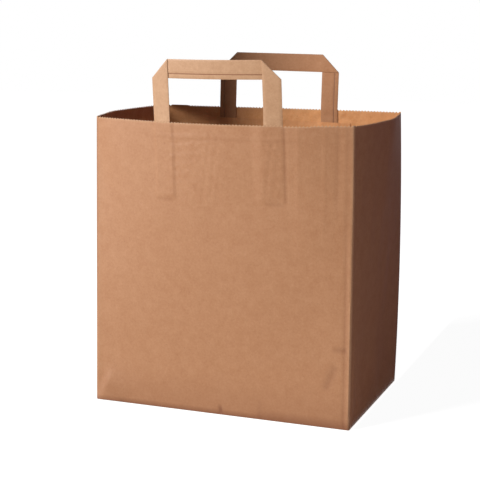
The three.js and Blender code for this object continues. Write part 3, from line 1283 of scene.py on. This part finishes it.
@dataclass
class FoldedHandle:
    """A flat strip of three plies, folded over at 45 degrees at its two upper corners."""

    name: str
    side: Side
    form: BagForm
    face: bpy.types.Material
    seam: bpy.types.Material
    place: HandlePlace
    outer_width: float = 128 * MM
    strip_width: float = 17.8 * MM
    rise: float = 55 * MM
    leg_below_rim: float = 72 * MM
    seam_from_edge: float = 4.8 * MM
    seam_line: float = 0.8 * MM
    glue_line: float = 0.3 * MM

    # A ply's share of its edge that the dark seam line fills: soaked glue, and a painted shadow beside the
    # ply's edge.
    seam_fill: float = 0.8

    # The rounding of the strip's folds as a share of its thickness, and its cuts each way.
    rounding: float = 0.35
    cuts_across: int = 5
    cuts_along: int = 59
    pieces: list[bpy.types.Object] = field(default_factory=list)

    @property
    def bar_bottom(self) -> float:
        """Give the height of the bar's lower edge above the rim."""
        return self.rise - self.strip_width

    def build(self) -> None:
        """Model the legs and the bar, ply by ply, and lay them against the panel."""
        plies = []
        for end in End:
            plies.append(self._leg(end, 0, 2, short=0))
            plies.append(self._leg(end, 2, 3, short=self.seam_from_edge))
            plies.append(self._leg_seam(end))
        plies.append(self._bar(3, 4, short=self.seam_from_edge))
        plies.append(self._bar(4, 6, short=0))
        plies.append(self._bar_seam())
        handle = join(self.name + "_paper", plies)
        smooth(handle)
        self.pieces = [handle]

    def dress(self) -> None:
        """Hang the handle on the frame in its node's place."""
        for piece in self.pieces:
            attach(piece, "root")
            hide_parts(self.name)
            log.info("%s: %d faces", piece.name, len(piece.data.polygons))

    def _leg(self, end: End, first_ply: int, last_ply: int, short: float) -> bpy.types.Object:
        """Model some plies of a leg, whose top is folded over along a 45 degree line.

        Args:
            end: Which leg.
            first_ply: How many plies lie between it and the panel.
            last_ply: The same for its other face.
            short: How far it ends short of the leg's outer edge.

        Returns:
            The plies, laid against the panel.
        """
        outer = end.value * (self.outer_width / 2 - short)
        inner = end.value * (self.outer_width / 2 - self.strip_width)
        fold_drop = self.strip_width - short

        def shape(points: Points) -> Points:
            """Slope the top end to the line of the fold.

            Args:
                points: Places on the straight leg.

            Returns:
                The places on the folded leg.
            """
            moved = points.copy()
            at_top = points[:, 2] > self.bar_bottom
            outward = np.clip((points[:, 0] - inner) / (outer - inner), 0, 1)
            moved[at_top, 2] -= (outward * fold_drop)[at_top]
            return moved

        span = (min(outer, inner), max(outer, inner))
        heights = (-self.leg_below_rim, self.rise)
        return self._ply(span, heights, first_ply, last_ply, shape, 2)

    def _bar(self, first_ply: int, last_ply: int, short: float) -> bpy.types.Object:
        """Model some plies of the bar, whose two ends are folded along 45 degree lines.

        Args:
            first_ply: How many plies lie between it and the panel.
            last_ply: The same for its other face.
            short: How far it ends short of the bar's lower edge.

        Returns:
            The plies, laid against the panel.
        """
        half = self.outer_width / 2

        def shape(points: Points) -> Points:
            """Draw both ends in with height.

            Args:
                points: Places on the straight bar.

            Returns:
                The places on the folded bar.
            """
            moved = points.copy()
            rise = points[:, 2] - self.bar_bottom
            moved[:, 0] *= (half - rise) / half
            return moved

        heights = (self.bar_bottom + short, self.rise)
        return self._ply((-half, half), heights, first_ply, last_ply, shape, 0)

    def _leg_seam(self, end: End) -> bpy.types.Object:
        """Model the dark line along the edge of a leg's last ply: glue, and a painted shadow beside that
        edge.

        Args:
            end: Which leg.

        Returns:
            The line.
        """
        outer = end.value * (self.outer_width / 2 - self.seam_from_edge)
        past = outer + end.value * self.seam_line
        heights = (-self.leg_below_rim, self.bar_bottom)
        span = (min(outer, past), max(outer, past))
        return self._ply(span, heights, 2, 2 + self.seam_fill, np.copy, 2, self.seam)

    def _bar_seam(self) -> bpy.types.Object:
        """Model the dark line along the edge of the bar's first ply: glue, and a painted shadow beside
        that edge.

        Returns:
            The line.
        """
        half = self.outer_width / 2 - self.strip_width
        top = self.bar_bottom + self.seam_from_edge
        heights = (top - self.seam_line, top)
        return self._ply((-half, half), heights, 4 - self.seam_fill, 4, np.copy, 0, self.seam)

    def _ply(
        self,
        span: tuple[float, float],
        heights: tuple[float, float],
        first_ply: float,
        last_ply: float,
        shape: Reshape,
        long_axis: int,
        finish: bpy.types.Material | None = None,
    ) -> bpy.types.Object:
        """Model a flat length of the strip and lay it against the panel.

        Args:
            span: Where it starts and ends along the panel, from the handle's middle.
            heights: Where it starts and ends in height.
            first_ply: How many plies lie between it and the panel.
            last_ply: The same for its other face.
            shape: The step that cuts its ends to the folds.
            long_axis: 0 if it runs along the panel, 2 if it runs up it.
            finish: Its material, if it isn't the strip's own.

        Returns:
            The laid length.
        """
        paper = self.form.paper
        skin = paper + self.glue_line
        low = Vector((span[0], skin + first_ply * paper, heights[0]))
        high = Vector((span[1], skin + last_ply * paper, heights[1]))
        ply = add_box("ply", low, high)
        reshape(ply, shape)
        fold_radius = (last_ply - first_ply) * paper * self.rounding
        with editing(ply):
            bpy.ops.mesh.select_all(action="SELECT")
            bpy.ops.mesh.bevel(offset=fold_radius, segments=2, affect="EDGES")
            cut_along(ply, 2 - long_axis, 5 * MM, self.cuts_across)
            cut_along(ply, long_axis, 20 * MM, self.cuts_along)
        reshape(ply, self.to_panel, self.form.against_panel(self.side))
        if self.side is Side.REAR:
            with editing(ply):
                bpy.ops.mesh.select_all(action="SELECT")
                bpy.ops.mesh.normals_make_consistent(inside=False)
        ply.data.materials.append(finish or self.face)
        return ply

    def to_panel(self, points: Points) -> Points:
        """Move places in the handle's own frame to where it was glued on."""
        rim = np.array([0, 0, self.form.height])
        return self.place.place(points) + rim


@dataclass
class GluedPatch:
    """The strip of kraft paper that is glued over the ends of a handle."""

    name: str
    handle: FoldedHandle
    face: bpy.types.Material
    edge: bpy.types.Material
    width: float = 155 * MM
    top_below_rim: float = 13.5 * MM
    below_legs: float = 6 * MM
    ramp: float = 4 * MM
    facets: tuple[int, int] = (100, 44)
    pieces: list[bpy.types.Object] = field(default_factory=list)

    def build(self) -> None:
        """Model the patch as a sheet that climbs over the two legs."""
        form = self.handle.form
        bottom = -self.handle.leg_below_rim - self.below_legs
        top = -self.top_below_rim
        patch = add_sheet(self.name + "_paper", self.width, top - bottom, *self.facets)

        def raise_to_place(points: Points) -> Points:
            """Lift the sheet to its height and over the legs.

            Args:
                points: Places on the flat sheet.

            Returns:
                The places in the handle's own frame.
            """
            moved = points.copy()
            moved[:, 2] += bottom
            moved[:, 1] = form.paper + self.handle.glue_line + self._climb(moved)
            return moved

        reshape(patch, raise_to_place, self.handle.to_panel, form.against_panel(self.handle.side))
        patch.data.materials.append(self.face)
        patch.data.materials.append(self.edge)
        outward = -1 if self.handle.side is Side.FRONT else 1
        thicken(patch, form.paper, outward)
        smooth(patch)
        self.pieces = [patch]

    def _climb(self, points: Points) -> np.ndarray:
        """Give how far the patch stands off the panel where it covers a leg.

        Args:
            points: Places in the handle's own frame.

        Returns:
            How far the patch stands off.
        """
        handle = self.handle
        s, _, z = points.T
        outer = handle.outer_width / 2
        inner = outer - handle.strip_width
        beside = np.maximum(inner - np.abs(s), np.abs(s) - outer)
        below = -handle.leg_below_rim - z
        past = np.maximum(np.maximum(beside, below), 0)
        full = 3 * handle.form.paper + handle.glue_line
        return full * (1 - soft_step(past, 0, self.ramp))

    def dress(self) -> None:
        """Hang the patch on the frame in its node's place."""
        for piece in self.pieces:
            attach(piece, "root")
            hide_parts(self.name)
            log.info("%s: %d faces", piece.name, len(piece.data.polygons))


# Studio


@dataclass(frozen=True)
class SoftLight:
    """A flat, soft light that stands round the bag and faces it.

    Its azimuth is its direction from the bag in degrees, from the front towards the right.
    Its distance runs along the floor, and its height is that of its middle. Its level is
    the light it gives the bag, where 1 shows white paper as white.
    """

    name: str
    azimuth: float
    distance: float
    height: float
    size: tuple[float, float]
    level: float
    in_gloss: bool
    aim_height: float = 0.16

    def hang(self) -> None:
        """Hang the light out of the camera's sight."""
        data = bpy.data.lights.new(self.name, "AREA")
        data.shape = "RECTANGLE"
        data.size, data.size_y = self.size
        # A flat light of power P lights a face at a distance r that looks at it by P / (pi r r).
        data.energy = self.level * (math.pi * self.distance) ** 2
        light = bpy.data.objects.new(self.name, data)
        bpy.context.scene.collection.objects.link(light)
        angle = math.radians(self.azimuth)
        towards = Vector((math.sin(angle), -math.cos(angle), 0))
        light.location = towards * self.distance + Vector((0, 0, self.height))
        aim = Vector((0, 0, min(self.height, self.aim_height))) - light.location
        light.rotation_euler = aim.to_track_quat("-Z", "Y").to_euler()
        light.visible_camera = False
        light.visible_glossy = self.in_gloss


@dataclass(frozen=True)
class Card:
    """A dull card beside the bag, out of the camera's sight, between two corners in mm."""

    name: str
    low: tuple[float, float, float]
    high: tuple[float, float, float]
    colour: str
    casts_shadow: bool

    def stand(self) -> None:
        """Stand the card in its place."""
        card = add_box(self.name, Vector(self.low) * MM, Vector(self.high) * MM)
        material = blank_material(self.name)
        tree = material.node_tree
        paint = add_node(tree, "ShaderNodeBsdfDiffuse", {"Color": linear(self.colour)})
        add_node(tree, "ShaderNodeOutputMaterial", {"Surface": paint.outputs[0]})
        card.data.materials.append(material)
        card.visible_camera = False
        card.visible_shadow = self.casts_shadow


@dataclass
class Studio:
    """The pale floor, the soft light and the camera at the photograph's viewing angle."""

    camera_place: tuple[float, float, float] = (0.4293, -1.1405, 0.3792)
    camera_yaw: float = 21.1
    camera_pitch: float = 10.435
    camera_roll: float = 0.178
    focal_length: float = 93.46
    sensor: float = 36
    world_level: float = 0.18
    floor_level: float = 0.96
    floor_paint: str = "#a8a8a8"
    floor_size: float = 8
    floor_drop: float = 0.2 * MM
    lights: tuple[SoftLight, ...] = (
        SoftLight("softbox", -40, 2.4, 1.2, (0.85, 1.0), 1.34, in_gloss=True),
        SoftLight("bounce", 60, 1.1, 0.05, (0.6, 0.1), 0.13, in_gloss=False),
    )

    # The first keeps the softbox off the left inside, and the others shade the right gusset.
    cards: tuple[Card, ...] = (
        Card("light_flag", (-143, -72, 286), (-142, 200, 520), "#1a1a1a", casts_shadow=True),
        Card("dark_wall", (500, -350, 0), (501, 2500, 1400), "#54385c", casts_shadow=False),
        Card("dark_end", (145, 1500, 0), (500, 1501, 1400), "#54385c", casts_shadow=False),
        Card("dark_table", (132, -85, 0), (499, 1500, 0.2), "#b098a2", casts_shadow=False),
    )

    def build(self) -> None:
        """Set up floor, backdrop, lights, cards and camera."""
        self._floor()
        self._world()
        for light in self.lights:
            light.hang()
        for card in self.cards:
            card.stand()
        self._camera()
        bpy.context.scene.view_settings.view_transform = "Standard"

    def _camera(self) -> None:
        """Place the camera."""
        data = bpy.data.cameras.new("camera")
        data.lens = self.focal_length
        data.sensor_width = self.sensor
        camera = bpy.data.objects.new("camera", data)
        bpy.context.scene.collection.objects.link(camera)
        turn = Matrix.Rotation(math.radians(self.camera_yaw), 4, "Z")
        tip = Matrix.Rotation(math.radians(90 - self.camera_pitch), 4, "X")
        roll = Matrix.Rotation(math.radians(self.camera_roll), 4, "Z")
        camera.matrix_world = Matrix.Translation(self.camera_place) @ turn @ tip @ roll
        bpy.context.scene.camera = camera

    def _floor(self) -> None:
        """Lay a pale floor that the camera sees as white, with the object's shadow."""
        deselect_all()
        bpy.ops.mesh.primitive_plane_add(size=self.floor_size, location=(0, 0, -self.floor_drop))
        floor = finish_primitive("floor")
        material = blank_material("studio_floor")
        tree = material.node_tree
        paint = add_node(tree, "ShaderNodeBsdfDiffuse", {"Color": linear(self.floor_paint)})
        glow = add_node(tree, "ShaderNodeEmission", {"Strength": self._seen(tree, self.floor_level)})
        mixed = add_node(tree, "ShaderNodeAddShader", {0: paint.outputs[0], 1: glow.outputs[0]})
        add_node(tree, "ShaderNodeOutputMaterial", {"Surface": mixed.outputs[0]})
        floor.data.materials.append(material)

    def _world(self) -> None:
        """Surround the object with an even, soft light behind a white backdrop."""
        world = bpy.data.worlds.new("studio")
        bpy.context.scene.world = world
        world.use_nodes = True
        tree = world.node_tree
        tree.nodes.clear()
        levels = {"Value": self._seen(tree, 1.0), "To Min": self.world_level, "To Max": 1.0}
        level = add_node(tree, "ShaderNodeMapRange", levels).outputs[0]
        light = {"Color": linear("#ffffff"), "Strength": level}
        backdrop = add_node(tree, "ShaderNodeBackground", light)
        add_node(tree, "ShaderNodeOutputWorld", {"Surface": backdrop.outputs[0]})

    @staticmethod
    def _seen(tree: bpy.types.NodeTree, level: float) -> bpy.types.NodeSocket:
        """Make a level that only the camera, mirrors and glass see.

        Args:
            tree: The node tree of a floor or a backdrop.
            level: The level that they see.

        Returns:
            A socket with that level for them, and with 0 for the light that falls on things.
        """
        path = add_node(tree, "ShaderNodeLightPath")
        most = path.outputs["Is Camera Ray"]
        for ray in ("Is Glossy Ray", "Is Transmission Ray"):
            either = {0: most, 1: path.outputs[ray]}
            most = add_node(tree, "ShaderNodeMath", either, operation="MAXIMUM").outputs[0]
        return add_node(tree, "ShaderNodeMath", {0: most, 1: level}, operation="MULTIPLY").outputs[0]


def main() -> None:
    logging.basicConfig(level=logging.INFO, format="%(name)s: %(message)s")
    front_place = HandlePlace(middle=3.5 * MM, lift=0.8 * MM, skew=0.01, lean=-0.03, tilt=0.006)
    rear_place = HandlePlace(middle=-0.4 * MM, lift=0.8 * MM, lean=-0.08, tilt=-0.012)
    glued_front = HandlePlace(front_place.middle / MM, front_place.lift / MM, front_place.skew)
    form = BagForm(PaperRelief(glued_front))
    sheet = KraftPaper("kraft_sheet_glazed", ior=1.55).material()
    # The front handle is painted paler than the rear handle's same paper: a painted sheen.
    painted_sheen_front_strip = {"brown": "#bd8f69", "thin_pulp": "#ca9e79", "thick_pulp": "#ae8059"}
    strip = KraftPaper("kraft_strip_glazed_painted_sheen", **painted_sheen_front_strip, roughness=0.5, ior=1.6).material()
    matt_strip = KraftPaper("kraft_strip_matt", roughness=0.65, ior=1.4).material()
    # The inside paper is painted paler and warmer than the outside: painted light inside the bag.
    painted_light_inside = {"brown": "#d59662", "thin_pulp": "#e0a675", "thick_pulp": "#c78650"}
    inside = KraftPaper("kraft_sheet_matt_inside_painted_light", **painted_light_inside, roughness=0.8, ior=1.35).material()
    # The patches are painted as pale as the inside: painted light inside the bag.
    painted_light_patch = {"brown": "#cf905d", "thin_pulp": "#d59969", "thick_pulp": "#c68652"}
    lining = KraftPaper("kraft_patch_matt_painted_light", **painted_light_patch, roughness=0.7, ior=1.4).material()
    edge = FibreEdge().material()
    # Dark seam lines: soaked glue, and a painted shadow beside each ply's edge.
    seam = FibreEdge("glue_seam_and_painted_shadow", dark="#7d4f32", pale="#9a6844", roughness=0.6).material()

    body = BagBody(form, sheet, inside, edge)
    front_sizes = {"outer_width": 127.8 * MM, "strip_width": 17.4 * MM, "rise": 56.5 * MM}
    front = FoldedHandle("front_handle", Side.FRONT, form, strip, seam, front_place, **front_sizes)
    rear = FoldedHandle("rear_handle", Side.REAR, form, matt_strip, seam, rear_place)
    front_patch = GluedPatch("front_patch", front, lining, edge)
    rear_patch = GluedPatch("rear_patch", rear, lining, edge)
    for part in (body, front, rear, front_patch, rear_patch):
        part.build()
        part.dress()
    Studio().build()


if __name__ == "__main__":
    main()
